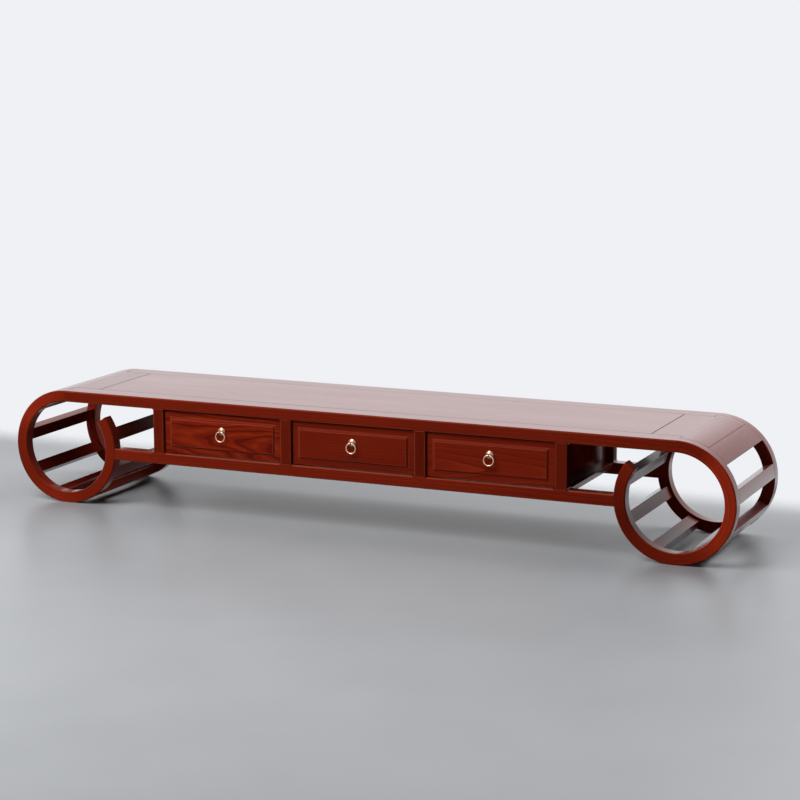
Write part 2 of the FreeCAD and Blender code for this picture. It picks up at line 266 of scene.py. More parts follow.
def waxed_poplar(name):
    """Pale drawer wood, sanded and waxed."""
    material, tree = new_material(name)
    rings, pores, mottle = wood_figure(tree, **plain_cut)
    body = add_node(tree, "ShaderNodeValToRGB", {"Fac": rings})
    set_ramp(body, [(0.0, "#A9804F"), (0.3, "#C49C68"), (1.0, "#CFAA78")])
    drifted = add_node(tree, "ShaderNodeMix", {
        "Factor": mottle, "A": body.outputs["Color"], "B": colour("#B98F5C")}, data_type="RGBA")
    roughness = add_node(tree, "ShaderNodeMapRange", {
        "Value": pores, "From Min": 0.3, "From Max": 0.7, "To Min": 0.5, "To Max": 0.68})
    relief = add_node(tree, "ShaderNodeBump", {
        "Height": pores, "Strength": 0.2, "Distance": 0.1 * mm})
    shader = add_node(tree, "ShaderNodeBsdfPrincipled", {
        "Base Color": drifted.outputs["Result"], "Roughness": roughness.outputs["Result"],
        "Normal": relief.outputs["Normal"], "IOR": 1.45})
    add_node(tree, "ShaderNodeOutputMaterial", {"Surface": shader.outputs["BSDF"]})
    return material


def aged_brass(name, dull, body, bright):
    """Cast brass with a thin uneven patina, as the colours of its dull, middling and bright places."""
    material, tree = new_material(name)
    place = add_node(tree, "ShaderNodeTexCoord").outputs["Object"]
    cloud = add_node(tree, "ShaderNodeTexNoise", {
        "Vector": place, "Scale": 1 / patina_size, "Detail": 4.0, "Roughness": 0.6})
    tone = add_node(tree, "ShaderNodeValToRGB", {"Fac": cloud.outputs["Fac"]})
    set_ramp(tone, [(0.3, dull), (0.5, body), (0.75, bright)])
    roughness = add_node(tree, "ShaderNodeMapRange", {
        "Value": cloud.outputs["Fac"], "From Min": 0.3, "From Max": 0.75, "To Min": 0.45, "To Max": 0.24})
    relief = add_node(tree, "ShaderNodeBump", {
        "Height": cloud.outputs["Fac"], "Strength": 0.15, "Distance": 0.1 * mm})
    shader = add_node(tree, "ShaderNodeBsdfPrincipled", {
        "Base Color": tone.outputs["Color"], "Metallic": 1.0, "Roughness": roughness.outputs["Result"],
        "Normal": relief.outputs["Normal"]})
    add_node(tree, "ShaderNodeOutputMaterial", {"Surface": shader.outputs["BSDF"]})
    return material


box_wood = waxed_poplar("poplar, waxed")
# The rose's darker colours are partly painted shade, the ring's brighter ones partly painted highlight.
shaded_rose_brass = aged_brass("cast brass, aged and shaded", "#6C4E3A", "#A58068", "#D4B298")
lit_ring_brass = aged_brass("cast brass, handled and lit", "#A8846A", "#DEBEA4", "#F3DCC6")
finishes = (frame_ash, figured_ash, box_wood, shaded_rose_brass, lit_ring_brass)
print("materials:", ", ".join(finish.name for finish in finishes))

# %% [markdown]
# Nearly every piece starts as a sawn block. A maker would then take the sharp arris off every edge
# with a plane, and that narrow facet is what catches the light along furniture. A Bevel modifier could
# do it live. Here the bevel operator cuts it into the mesh once, and the new facets are marked in an
# attribute that holds wear and painted light: above zero where the lacquer is rubbed thin, which
# lightens the facet towards a pale colour that also paints a highlight along the edge, and below zero
# for painted shade, which darkens and dulls the top's seams and the faces that look into the openings
# and the scrolls. A random shift of the grain and a tone, both seeded by the piece's name, give every
# board wood of its own. All three are kept per face corner, so they may jump at an edge.

# %% Helpers for wooden pieces
ease = 0.7 * mm             # plane stroke along every edge
ease_steps = 2
sharp_edge = math.radians(20)
near = ease / 9             # points as close as this count as one place
weld = 0.001 * mm
squarely = 0.9              # a face looks along a direction if its normal has this much of it
smooth_angle = 30           # degrees; what turns faster keeps its edge
past_tip = 10.0             # degrees above a scroll's tip, still counted as its end

# Above zero: rubbed lacquer, lighter, which also paints a highlight along edges.
rubbed_and_highlit = 1.0
unworn = 0.0
# Below zero: painted shade, which darkens and dulls a face.
seam_shade = -1.0

board_shift = ((0.0, 4.0), (-0.03, 0.03), (0.05, 0.09))     # metres along, across and out in a log
tone_spread = (0.94, 1.06)


def start_piece():
    """An empty mesh with the three attributes that the wood reads."""
    bm = bmesh.new()
    bm.loops.layers.float_vector.new("grain")
    bm.loops.layers.float.new("wear_and_painted_light")
    bm.loops.layers.float.new("tone")
    return bm


def add_block(bm, low, high):
    """A block between two corners."""
    verts = bmesh.ops.create_cube(bm, size=1.0)["verts"]
    low = Vector(low)
    high = Vector(high)
    bmesh.ops.scale(bm, vec=high - low, verts=verts)
    bmesh.ops.translate(bm, vec=(low + high) / 2, verts=verts)


def cut_bevel(bm, edges, width, steps=1):
    """Bevels some edges, flat or in steps, and gives the new facets back."""
    return bmesh.ops.bevel(bm, geom=edges, offset=width, offset_type="OFFSET", segments=steps,
                           profile=0.5, affect="EDGES", clamp_overlap=True, material=-1)["faces"]


def mark_wear_and_light(bm, faces, wear_and_light):
    """Marks how far the lacquer of some facets is rubbed thin and lightened, a painted highlight as well,
    or below zero how much painted shade darkens and dulls them.
    """
    wear_and_painted_light = bm.loops.layers.float["wear_and_painted_light"]
    for face in faces:
        for loop in face.loops:
            loop[wear_and_painted_light] = wear_and_light


def ease_edges(bm, width=ease, wear_and_light=rubbed_and_highlit):
    """Takes the sharpness off every arris, and marks the new facets with their wear and painted light."""
    edges = [e for e in bm.edges if e.is_manifold and e.calc_face_angle() > sharp_edge]
    mark_wear_and_light(bm, cut_bevel(bm, edges, width, ease_steps), wear_and_light)


def straight_grain(axis):
    """Grain coordinates for a board whose wood runs along an axis, 0 to 2."""
    order = [axis] + [i for i in range(3) if i != axis]
    return lambda co: Vector((co[order[0]], co[order[1]], co[order[2]]))


def turn_of(co):
    """How far round a scroll a point lies, from the top outwards, on either side."""
    x = abs(co.x) - scroll_x
    z = co.z - scroll_z
    turn = math.atan2(x, z)
    if x < 0 and z < math.sin(math.radians(scroll_tip_rise + past_tip)) * scroll_radius:
        turn += 2 * math.pi
    return turn


def bent_grain(co):
    """Grain coordinates that follow the rim of a scroll."""
    radius = math.hypot(abs(co.x) - scroll_x, co.z - scroll_z)
    return Vector((turn_of(co) * scroll_radius, radius, co.y))


def lay_grain(bm, grain, name, shade):
    """Writes each face corner's place in the wood, in a board of its own, and the board's tone."""
    layer = bm.loops.layers.float_vector["grain"]
    tone = bm.loops.layers.float["tone"]
    chance = random.Random(name)
    shift = Vector([chance.uniform(*span) for span in board_shift])
    shade *= chance.uniform(*tone_spread)
    centre = sum((grain(v.co) for v in bm.verts), Vector()) / len(bm.verts)
    for face in bm.faces:
        for loop in face.loops:
            loop[layer] = grain(loop.vert.co) - centre + shift
            loop[tone] = shade


def finish_piece(bm, node, ending, material, smooth=smooth_angle):
    """Turns a mesh into the piece that stands for a node, on that node's body."""
    bmesh.ops.remove_doubles(bm, verts=bm.verts, dist=weld)
    bmesh.ops.recalc_face_normals(bm, faces=bm.faces)
    mesh = bpy.data.meshes.new(node + ending)
    bm.to_mesh(mesh)
    bm.free()
    mesh.shade_smooth()
    mesh.set_sharp_from_angle(angle=math.radians(smooth))
    mesh.materials.append(material)
    piece = bpy.data.objects.new(node + ending, mesh)
    bpy.context.scene.collection.objects.link(piece)
    piece.modifiers.new("level faces", "WEIGHTED_NORMAL").keep_sharp = True
    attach(piece, frame["nodes"][node]["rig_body"])
    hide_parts(node)
    return piece


def wooden(bm, node, grain, material=frame_ash, shade=1.0):
    """Finishes a wooden piece with its grain laid."""
    lay_grain(bm, grain, node, shade)
    return finish_piece(bm, node, "_wood", material)


def rear_twin(bm):
    """Turns a front piece into its rear twin, about the middle of the depth."""
    bmesh.ops.scale(bm, vec=(1, -1, 1), verts=bm.verts)
    bmesh.ops.translate(bm, vec=(0, 2 * middle, 0), verts=bm.verts)
    bmesh.ops.reverse_faces(bm, faces=bm.faces)


def left_twin(bm):
    """Turns a right-hand piece into its left-hand twin."""
    bmesh.ops.scale(bm, vec=(-1, 1, 1), verts=bm.verts)
    bmesh.ops.reverse_faces(bm, faces=bm.faces)


print("edges are eased by %.1f mm" % (ease / mm))

# %% [markdown]
# The rails are four long planks. The top ones carry the front and rear edge of the top, and the lower
# ones carry the drawers. Each has a chamfer along its outer edge, and stopped chamfers where it borders
# a drawer or an open bay. Stopped chamfers could be cut with booleans. It is simpler to split the edge
# itself with loose vertices: the bevel operator then runs each chamfer out to a point just past the
# opening, which meets the chamfer of the post in a neat mitre.

# %% Rails
post_edges = {}
for side in ("outer_left", "inner_left", "inner_right", "outer_right"):
    low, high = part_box("post_front_" + side)
    post_edges[side] = (low.x, high.x)

stops = [-scroll_x]
for low, high in post_edges.values():
    stops += [low, high]
stops.append(scroll_x)
open_runs = list(zip(stops[0::2], stops[1::2]))


def edge_along(bm, y, z):
    """The edge that runs along X at a place in the section."""
    for edge in bm.edges:
        a, b = (v.co for v in edge.verts)
        if all(abs(c.y - y) < near and abs(c.z - z) < near for c in (a, b)):
            return edge


def stopped_chamfers(bm, y, z, runs, wear_and_light):
    """Chamfers the runs of one long edge, each stopped just past its ends."""
    edge = edge_along(bm, y, z)
    start, end = sorted(edge.verts, key=lambda v: v.co.x)
    places = [x for run in runs for x in run if start.co.x < x < end.co.x]
    cuts = [start]
    for x in sorted(places):
        last = cuts[-1]
        share = (x - last.co.x) / (end.co.x - last.co.x)
        edge = next(e for e in last.link_edges if e.other_vert(last) == end)
        cuts.append(bmesh.utils.edge_split(edge, last, share)[1])
    cuts.append(end)
    chosen = []
    for a, b in zip(cuts, cuts[1:]):
        place = (a.co.x + b.co.x) / 2
        if any(low < place < high for low, high in runs):
            chosen.append(next(e for e in a.link_edges if e.other_vert(a) == b))
    mark_wear_and_light(bm, cut_bevel(bm, chosen, arris), wear_and_light)


def top_rail():
    """The front top rail."""
    bm = start_piece()
    add_block(bm, (-scroll_x, front, lintel), (scroll_x, panel_front, height))
    cut_bevel(bm, [edge_along(bm, front, height)], arris)
    stopped_chamfers(bm, front, lintel, open_runs, unworn)
    ease_edges(bm)
    return bm


def lower_rail():
    """The front lower rail, with its ends coped to the scrolls."""
    end_x = scroll_x - scroll_radius
    bm = start_piece()
    add_block(bm, (-end_x, front, lower_base), (end_x, inner_front, sill))
    for vert in bm.verts:
        reach = math.sqrt(scroll_radius ** 2 - (vert.co.z - scroll_z) ** 2)
        vert.co.x = math.copysign(scroll_x - reach, vert.co.x)
    cut_bevel(bm, [edge_along(bm, front, lower_base)], arris)
    # The sill's chamfers are marked rubbed, which paints a highlight along the bottom of each opening.
    stopped_chamfers(bm, front, sill, open_runs, rubbed_and_highlit)
    ease_edges(bm)
    return bm


for shape, node in ((top_rail, "top_rail"), (lower_rail, "lower_rail")):
    wooden(shape(), node + "_front", straight_grain(0))
    twin = shape()
    rear_twin(twin)
    wooden(twin, node + "_rear", straight_grain(0))
print("rails made, with", len(open_runs), "chamfered runs each")

# %% [markdown]
# Eight posts stand between the rails, four in front and four behind. On the real cabinet they are
# short square sticks, tenoned at both ends, with the two edges that face an opening chamfered over
# their whole length, and they swell a little at both ends, so that the openings have round corners. The
# stick is a block with two bevelled edges. Each swelling is a three-sided face whose long side is a
# hollow arc: it is drawn back once as it shrinks, which makes the chamfer, and then straight.

# %% Posts
corner_radius = 4.5 * mm
corner_steps = 6
post_shade = 0.72           # the posts' wood took more stain than the rails'
shaded_sides = -0.5           # painted shade: the posts' sides in the openings are darkened and dulled


def round_corner(bm, x, z, side, rise):
    """The wood that rounds one corner of an opening, between a post's side and a rail."""
    wide = corner_radius + arris
    centre = Vector((x + side * corner_radius, front, z + rise * corner_radius))
    turns = [math.pi / 2 * i / corner_steps for i in range(corner_steps + 1)]
    outline = [(1, 1)] + [(math.cos(turn), math.sin(turn)) for turn in turns]
    corners = [bm.verts.new(centre - wide * Vector((side * a, 0, rise * b))) for a, b in outline]
    face = bm.faces.new(corners)
    for step, shrink in ((arris, corner_radius / wide), (inner_front - front - arris, 1.0)):
        drawn = bmesh.ops.extrude_face_region(bm, geom=[face])["geom"]
        face = next(g for g in drawn if isinstance(g, bmesh.types.BMFace))
        bmesh.ops.scale(bm, vec=(shrink, 1, shrink), space=Matrix.Translation(-centre), verts=face.verts)
        bmesh.ops.translate(bm, vec=(0, step, 0), verts=face.verts)


def post(x0, x1):
    """A front post between the rails."""
    bm = start_piece()
    add_block(bm, (x0, front, sill), (x1, inner_front, lintel))
    outer = [e for e in bm.edges if all(abs(v.co.y - front) < near for v in e.verts)
             and abs(e.verts[0].co.x - e.verts[1].co.x) < near]
    cut_bevel(bm, outer, arris)
    ease_edges(bm)
    bm.normal_update()
    # Painted shade: the sides that face into the openings are darkened and dulled.
    mark_wear_and_light(bm, [f for f in bm.faces if abs(f.normal.x) > squarely], shaded_sides)
    for x, side in ((x0, -1), (x1, 1)):
        for z, rise in ((sill, 1), (lintel, -1)):
            round_corner(bm, x, z, side, rise)
    return bm


for side, (low, high) in post_edges.items():
    wooden(post(low, high), "post_front_" + side, straight_grain(2), shade=post_shade)
    twin = post(low, high)
    rear_twin(twin)
    wooden(twin, "post_rear_" + side, straight_grain(2), shade=post_shade)
print(2 * len(post_edges), "posts")

# %% [markdown]
# A scroll carries the section of the top rail on round a circle, down to the floor and up again to a
# cut tip inside. The maker saws it from curved boards glued end to end. The tone of its front face is
# made to change as it goes round, by a table of tones. A curve with a bevel profile could draw it, but
# its section could not then have true chamfers, so the section is drawn as one face, its corners are
# bevelled as points, and a spin carries it round. The operator leaves a face at both ends, so the ring
# is closed. The bottom is pressed flat by a millimetre, where it stands.

# %% Scrolls
spin_step = math.radians(2)
tip_ease = 1.6 * mm
tip_steps = 3
with_chamfers = 0.5         # a chamfer's normal still has this much of its face's direction
scroll_tones = {            # degrees round from the top, and the tone of the front face there
    "right": ((26, 1.1), (46, 1.95), (128, 1.95), (160, 1.3), (210, 1.1), (250, 0.7), (306, 1.1)),
    "left": ((0, 1.1), (15, 1.4), (52, 1.6), (75, 1.05), (120, 0.9), (165, 1.35), (205, 1.0))}
scroll_turn = math.radians(270 + scroll_tip_rise)


def rim_face(bm, r0, r1, y0, y1, angle):
    """Draws an upright face across the rim, at an angle round from the top; gives its corners back."""
    corners = []
    for r, y in ((r0, y0), (r1, y0), (r1, y1), (r0, y1)):
        corners.append(bm.verts.new((scroll_x + r * math.sin(angle), y, scroll_z + r * math.cos(angle))))
    bm.faces.new(corners)
    return corners


def spin_rim(bm, turn):
    """Spins all that is there round the right-hand scroll's centre."""
    geometry = bm.verts[:] + bm.edges[:] + bm.faces[:]
    return bmesh.ops.spin(bm, geom=geometry, cent=(scroll_x, 0, scroll_z), axis=(0, 1, 0), angle=turn,
                          steps=round(turn / spin_step), use_duplicate=False)["geom_last"]


def scroll():
    """The front right scroll, from the rail's end round to the tip."""
    bm = start_piece()
    corners = rim_face(bm, scroll_radius - band, scroll_radius, front, inner_front, 0)
    bmesh.ops.bevel(bm, geom=corners[:2], offset=arris, offset_type="OFFSET", segments=1,
                    profile=0.5, affect="VERTICES", material=-1)
    bmesh.ops.bevel(bm, geom=bm.verts[:], offset=ease, offset_type="OFFSET", segments=ease_steps,
                    profile=0.5, affect="VERTICES", material=-1)
    last = spin_rim(bm, scroll_turn)
    tip = next(g for g in last if isinstance(g, bmesh.types.BMFace))
    cut_bevel(bm, tip.edges[:], tip_ease, tip_steps)
    for vert in bm.verts:
        vert.co.z = max(vert.co.z, 0.0)
    return bm


def tone_face(piece, tones):
    """Lets the tone of a front scroll's face drift as it goes round."""
    places, shades = zip(*tones)
    mesh = piece.data
    tone = mesh.attributes["tone"].data
    for face in mesh.polygons:
        if face.normal.y < -with_chamfers:
            for i in face.loop_indices:
                corner = mesh.vertices[mesh.loops[i].vertex_index].co
                tone[i].value *= interp(math.degrees(turn_of(corner)), places, shades)


for side, twins in (("right", []), ("left", [left_twin])):
    for place, more in (("front", []), ("rear", [rear_twin])):
        ring = scroll()
        for twin in twins + more:
            twin(ring)
        piece = wooden(ring, "scroll_%s_%s" % (place, side), bent_grain)
        if place == "front":
            tone_face(piece, scroll_tones[side])
print("a scroll has", len(piece.data.polygons), "faces")

# %% [markdown]
# Six slats cross each scroll from the front ring to the rear one, flush with the rim, and two wider
# boards carry the top over the start of the curve. All are staves: flat boards with one face planed to
# the curve, and their grain runs across the cabinet. Each is a face across the rim, spun through the
# angle that it covers. The upper board is also drawn out level to meet the top's long panel, between
# the two wide rails. The faces that look into the scroll get painted shade, darker and duller, more at
# the left-hand end, and the end boards' eased edges get painted shade along their seams.

# %% Slats and end boards
slat_count = 6
slat_width = 40 * mm
slat_thickness = 25 * mm
slat_ease = 1.2 * mm
first_slat = math.radians(90 - 8.5)             # the outermost, a little above the centre's level
last_slat = scroll_turn - math.radians(19.5)    # short of the tip
upper_span = math.radians(28.5)
lower_span = math.radians(22)
board_ease = 1.4 * mm
curve_seam_shade = -0.25          # painted shade, weaker, on the seam at the curve and the lower board's edges
seam_reach = 1.2            # how far from its end a board's seam is marked, in widths of its eased edge
shaded_inside = {"right": -0.1, "left": -0.4}     # painted shade, darker and duller, on the faces that look into a scroll
board_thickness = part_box("top_panel")[1].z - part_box("top_panel")[0].z
panel_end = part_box("end_board_upper_right")[0].x


def stave(start, turn, thickness, width, wear_and_light):
    """A stave across the right-hand end, from an angle round from the top."""
    bm = start_piece()
    rim_face(bm, scroll_radius - thickness, scroll_radius, inner_front, inner_rear, start)
    spin_rim(bm, turn)
    bmesh.ops.recalc_face_normals(bm, faces=bm.faces)
    ease_edges(bm, width, wear_and_light)
    return bm


def upper_board():
    """The upper end board: a level tongue between the rails and the first of the curve."""
    bm = start_piece()
    rim_face(bm, scroll_radius - board_thickness, scroll_radius, inner_front, inner_rear, 0)
    for y in (panel_front, panel_rear):
        bmesh.ops.bisect_plane(bm, geom=bm.verts[:] + bm.edges[:] + bm.faces[:], plane_co=(0, y, 0),
                               plane_no=(0, 1, 0))
    spin_rim(bm, upper_span)
    bmesh.ops.recalc_face_normals(bm, faces=bm.faces)
    inner = [f for f in bm.faces if f.normal.x < -squarely
             and panel_front < f.calc_center_median().y < panel_rear]
    drawn = bmesh.ops.extrude_face_region(bm, geom=inner)["geom"]
    ends = [g for g in drawn if isinstance(g, bmesh.types.BMVert)]
    bmesh.ops.translate(bm, vec=(panel_end - scroll_x, 0, 0), verts=ends)
    bmesh.ops.recalc_face_normals(bm, faces=bm.faces)
    # Painted shade darkens and dulls the board's eased edges along its seams.
    ease_edges(bm, board_ease, seam_shade)
    curve_end = upper_span - seam_reach * board_ease / scroll_radius
    mark_wear_and_light(bm, [f for f in bm.faces if turn_of(f.calc_center_median()) > curve_end], curve_seam_shade)
    return bm


def mark_shade_inside(bm, wear_and_light):
    """Marks painted shade on the faces that look towards the right-hand scroll's centre."""
    centre = Vector((scroll_x, 0, scroll_z))
    bm.normal_update()
    for face in bm.faces:
        inward = (centre - face.calc_center_median()) * Vector((1, 0, 1))
        if face.normal.dot(inward.normalized()) > squarely:
            mark_wear_and_light(bm, [face], wear_and_light)


def both_ends(shape, name, *sizes):
    """Makes a right-hand piece and its left-hand twin, with the grain across the cabinet."""
    for side in ("right", "left"):
        piece = shape(*sizes)
        mark_shade_inside(piece, shaded_inside[side])
        if side == "left":
            left_twin(piece)
        wooden(piece, name % side, straight_grain(1))


slat_turn = slat_width / scroll_radius
for i in range(slat_count):
    angle = first_slat + (last_slat - first_slat) * i / (slat_count - 1)
    both_ends(stave, "slat_%%s_%d" % (i + 1), angle - slat_turn / 2, slat_turn, slat_thickness,
              slat_ease, rubbed_and_highlit)
both_ends(upper_board, "end_board_upper_%s")
both_ends(stave, "end_board_lower_%s", upper_span, lower_span, board_thickness, ease, curve_seam_shade)
print(2 * slat_count, "slats and 4 end boards")

# %% [markdown]
# The top's panel is one long board that floats in grooves, so that it can shrink and swell. A fine
# groove shows all round it, where its eased edges meet those of the rails and the end boards. Inside
# the case are upright boards beside and between the drawers, runners under them and thin panels behind.
# All of these are blocks with eased edges, placed by their nodes' boxes, except that the easing comes
# to nothing on the upright boards, once their shoulders are drawn out. Their edges lie against the
# pieces round them, so that doesn't show.

# %% Top panel and case
guide_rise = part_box("runner_inner_right")[1].z - sill


def board(low, high, width=ease, wear_and_light=rubbed_and_highlit):
    """A plain board."""
    bm = start_piece()
    add_block(bm, low, high)
    ease_edges(bm, width, wear_and_light)
    return bm


# Painted shade darkens and dulls the panel's eased edges along its seams.
panel = board((-panel_end, panel_front, height - board_thickness), (panel_end, panel_rear, height),
              board_ease, seam_shade)
wooden(panel, "top_panel", straight_grain(0))


def case_wall(low, high):
    """An upright board, with a shoulder at front and back where the top rails pass over it."""
    bm = start_piece()
    add_block(bm, (low.x, panel_front, low.z), (high.x, panel_rear, high.z))
    for y, out, reach in ((panel_front, -1, inner_front), (panel_rear, 1, inner_rear)):
        bmesh.ops.bisect_plane(bm, geom=bm.verts[:] + bm.edges[:] + bm.faces[:],
                               plane_co=(0, 0, lintel), plane_no=(0, 0, 1))
        side = [f for f in bm.faces if f.normal.y * out > squarely and f.calc_center_median().z < lintel]
        drawn = bmesh.ops.extrude_face_region(bm, geom=side)["geom"]
        ends = [g for g in drawn if isinstance(g, bmesh.types.BMVert)]
        bmesh.ops.translate(bm, vec=(0, reach - y, 0), verts=ends)
    bmesh.ops.recalc_face_normals(bm, faces=bm.faces)
    ease_edges(bm)
    return bm


for side in ("left", "right"):
    for node in ("case_end_", "partition_"):
        low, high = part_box(node + side)
        wooden(case_wall(low, high), node + side, straight_grain(1))
    low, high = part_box("runner_outer_" + side)
    low.y = inner_front
    high.y = inner_rear
    wooden(board(low, high), "runner_outer_" + side, straight_grain(1))
    low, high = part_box("runner_inner_" + side)
    low.y = inner_front
    high.y = inner_rear
    runner = board(low, (high.x, high.y, sill))
    edges = post_edges["inner_" + side]
    rib = board((edges[0], low.y, sill), (edges[1], high.y, sill + guide_rise))
    rib_mesh = bpy.data.meshes.new("rib")
    rib.to_mesh(rib_mesh)
    rib.free()
    runner.from_mesh(rib_mesh)
    bpy.data.meshes.remove(rib_mesh)
    wooden(runner, "runner_inner_" + side, straight_grain(1))

openings = open_runs[1:-1]
back_low, back_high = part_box("back_panels")
backs = start_piece()
for x0, x1 in openings:
    add_block(backs, (x0, back_low.y, sill), (x1, back_high.y, lintel))
ease_edges(backs)
wooden(backs, "back_panels", straight_grain(0))
print("case made, with", len(openings), "back panels")

# %% [markdown]
# A drawer front is one thick board. Its middle stands proud as a raised field with a bevel round it,
# and the flat border that is left lies a little behind the face of the frame. A raised field is cut on
# the real board with a plane. Here two insets do it: one marks the border off, and the other lifts the
# field as it draws its edge in. The left front is flat-sawn, so its rings show as arches and dark eyes,
# and the other two are cut across the rings, so theirs are straight lines.

# %% Drawer fronts
border_width = 17 * mm
field_rise = 5 * mm
field_bevel = 6 * mm
field_ease = 0.6 * mm
drawers = ("left", "centre", "right")


def drawer_front(low, high):
    """A drawer front with its raised field."""
    bm = start_piece()
    add_block(bm, (low.x, low.y + field_rise, low.z), high)
    face = next(f for f in bm.faces if f.normal.y < -squarely)
    bmesh.ops.inset_region(bm, faces=[face], thickness=border_width, depth=0, use_even_offset=True)
    bmesh.ops.inset_region(bm, faces=[face], thickness=field_bevel, depth=field_rise, use_even_offset=True)
    ease_edges(bm, field_ease)
    return bm


def flat_grain(co):
    """Grain coordinates of a flat-sawn front, whose growth rings lie along its face."""
    return Vector((co.x, co.z, co.y))


for name in drawers:
    low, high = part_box("drawer_%s_front" % name)
    cut, wood = (flat_grain, figured_ash) if name == "left" else (straight_grain(0), frame_ash)
    wooden(drawer_front(low, high), "drawer_%s_front" % name, cut, wood)
print("drawer fronts %.0f by %.0f mm" % ((high.x - low.x) / mm, (high.z - low.z) / mm))

# %% [markdown]
# Behind its front each drawer is a plain box of pale wood: two sides, a back and a thin bottom that is
# let into grooves. The grooves could be cut here as well, but they don't show once the bottom is in, so
# each board is a block that ends where its neighbour begins. The inside is seen when a drawer is open,
# so the boards have eased edges and grain along their length too.

# %% Drawer boxes
for name in drawers:
    low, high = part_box("drawer_%s_sides" % name)
    inner_low, inner_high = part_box("drawer_%s_back" % name)
    sides = start_piece()
    add_block(sides, low, (inner_low.x, high.y, high.z))
    add_block(sides, (inner_high.x, low.y, low.z), high)
    ease_edges(sides)
    wooden(sides, "drawer_%s_sides" % name, straight_grain(1), box_wood)
    back = board(inner_low, inner_high)
    wooden(back, "drawer_%s_back" % name, straight_grain(0), box_wood)
    low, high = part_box("drawer_%s_bottom" % name)
    low.x = inner_low.x
    high.x = inner_high.x
    bottom = board(low, high)
    wooden(bottom, "drawer_%s_bottom" % name, straight_grain(0), box_wood)
print("boxes for", len(drawers), "drawers")

# %% [markdown]
# Each pull is a domed rose with an eye on its crown, riveted through the drawer front, and a ring that
# hangs in the eye. The rose and the rivet's head are turned shapes, so their outlines are spun a full
# turn. The eye and the ring are wire, so a small circle is spun for each. The dome's outline is itself
# a short spin of one point about the middle of the ball that it is part of.

# %% Pulls
dome_radius = 11.5 * mm
dome_height = 6.5 * mm
dome_rim = 1.2 * mm
wire_radius = 1.8 * mm
eye_play = 0.5 * mm
eye_wall = 2.1 * mm
rivet_radius = 6.0 * mm
rivet_thickness = 2.0 * mm
round_steps = 48            # in a full turn
dome_steps = 8              # from the crown to the rim
wire_sides = 16
brass_smooth = 40           # degrees, as smooth_angle


def turned(bm, outline, centre):
    """Spins an outline of edges a full turn about a line along Y."""
    bmesh.ops.spin(bm, geom=outline, cent=centre, axis=(0, 1, 0), angle=2 * math.pi,
                   steps=round_steps, use_merge=True, use_duplicate=False)


def dome(bm, crown, radius, rise, rim, way):
    """A domed disc with an upright rim; way is -1 for a dome that faces the front."""
    ball = (radius ** 2 + rise ** 2) / (2 * rise)
    slope = math.asin(radius / ball)
    top = bm.verts.new(crown)
    made = bmesh.ops.spin(bm, geom=[top], cent=crown - Vector((0, way * ball, 0)), axis=(0, 0, 1),
                          angle=-way * slope, steps=dome_steps, use_duplicate=False)
    edge = next(g for g in made["geom_last"] if isinstance(g, bmesh.types.BMVert))
    for step in (Vector((0, -way * rim, 0)), Vector((crown.x - edge.co.x, 0, 0))):
        new = bmesh.ops.extrude_vert_indiv(bm, verts=[edge])["verts"][0]
        bmesh.ops.translate(bm, vec=step, verts=[new])
        edge = new
    outline = [g for g in bm.verts[:] + bm.edges[:] if g.is_valid and not g.link_faces]
    turned(bm, outline, crown)


def wire_loop(bm, centre, loop_radius, wire, axis):
    """A closed loop of round wire about an axis, 0 or 1 for X or Y."""
    lie = Matrix.Translation(centre + Vector((0, 0, loop_radius))) @ Matrix.Rotation(math.pi / 2, 4, "Y")
    if axis == 0:
        lie = lie @ Matrix.Rotation(math.pi / 2, 4, "X")
    made = bmesh.ops.create_circle(bm, cap_ends=False, radius=wire, segments=wire_sides, matrix=lie)
    edges = list({e for v in made["verts"] for e in v.link_edges})
    bmesh.ops.spin(bm, geom=made["verts"] + edges, cent=centre, axis=(axis == 0, axis == 1, 0),
                   angle=2 * math.pi, steps=round_steps, use_merge=True, use_duplicate=False)


for name in drawers:
    ring_low, ring_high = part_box("pull_%s_ring" % name)
    face_low, face_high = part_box("drawer_%s_front" % name)
    ring_centre = (ring_low + ring_high) / 2
    ring_radius = (ring_high.z - ring_low.z) / 2 - wire_radius
    eye_centre = ring_centre + Vector((0, 0, ring_radius))

    base = start_piece()
    dome(base, Vector((eye_centre.x, face_low.y - dome_height, eye_centre.z)), dome_radius,
         dome_height - dome_rim, dome_rim, -1)
    rivet_back = face_high.y + rivet_thickness
    dome(base, Vector((eye_centre.x, rivet_back, eye_centre.z)), rivet_radius, rivet_thickness / 2,
         rivet_thickness / 2, 1)
    wire_loop(base, eye_centre, wire_radius + eye_play + eye_wall / 2, eye_wall / 2, 0)
    finish_piece(base, "pull_%s_base" % name, "_brass", shaded_rose_brass, brass_smooth)

    ring = start_piece()
    wire_loop(ring, ring_centre, ring_radius, wire_radius, 1)
    finish_piece(ring, "pull_%s_ring" % name, "_brass", lit_ring_brass, brass_smooth)
print("pulls with rings of %.0f mm" % ((ring_high.z - ring_low.z) / mm))

# %% [markdown]
# The cabinet stands on a plain grey floor. A panorama could light it, but two lamps and a plain sky are
# easier to steer. The stronger lamp is in front, to the left and above. The weaker one is behind, to
# the right and above, and lights the top and the right-hand end. Both are wide, so that shadows have
# soft edges. An even pale sky shows at full strength to the eye and in reflections, and lights the wood
# gently. The floor has a dull sheen, ends a little behind the cabinet, and far off thins away into the
# sky. In its stead the sky below the horizon is grey to a reflected ray, and the grey starts lower
# towards the right, so that the right-hand end mirrors more of the pale sky.

# %% Floor, lamps and sky
floor_size = 40.0
floor_mottle = 300 * mm
floor_end = (0.45, 0.7)     # metres behind the cabinet's middle
floor_fade = (3.0, 8.0)     # metres from the cabinet's middle, all round
lamp_target = (0, 0, 0.2)
sky_colour = "#EFF1F4"
ground_colour = "#4A4B4D"
horizon = (-0.2, 0.0)       # the rise of a ray that sees all grey, and of one that sees all sky
horizon_fall = 1.0          # how fast the grey starts lower towards the right
sky_light = 0.09            # what the sky gives to the wood


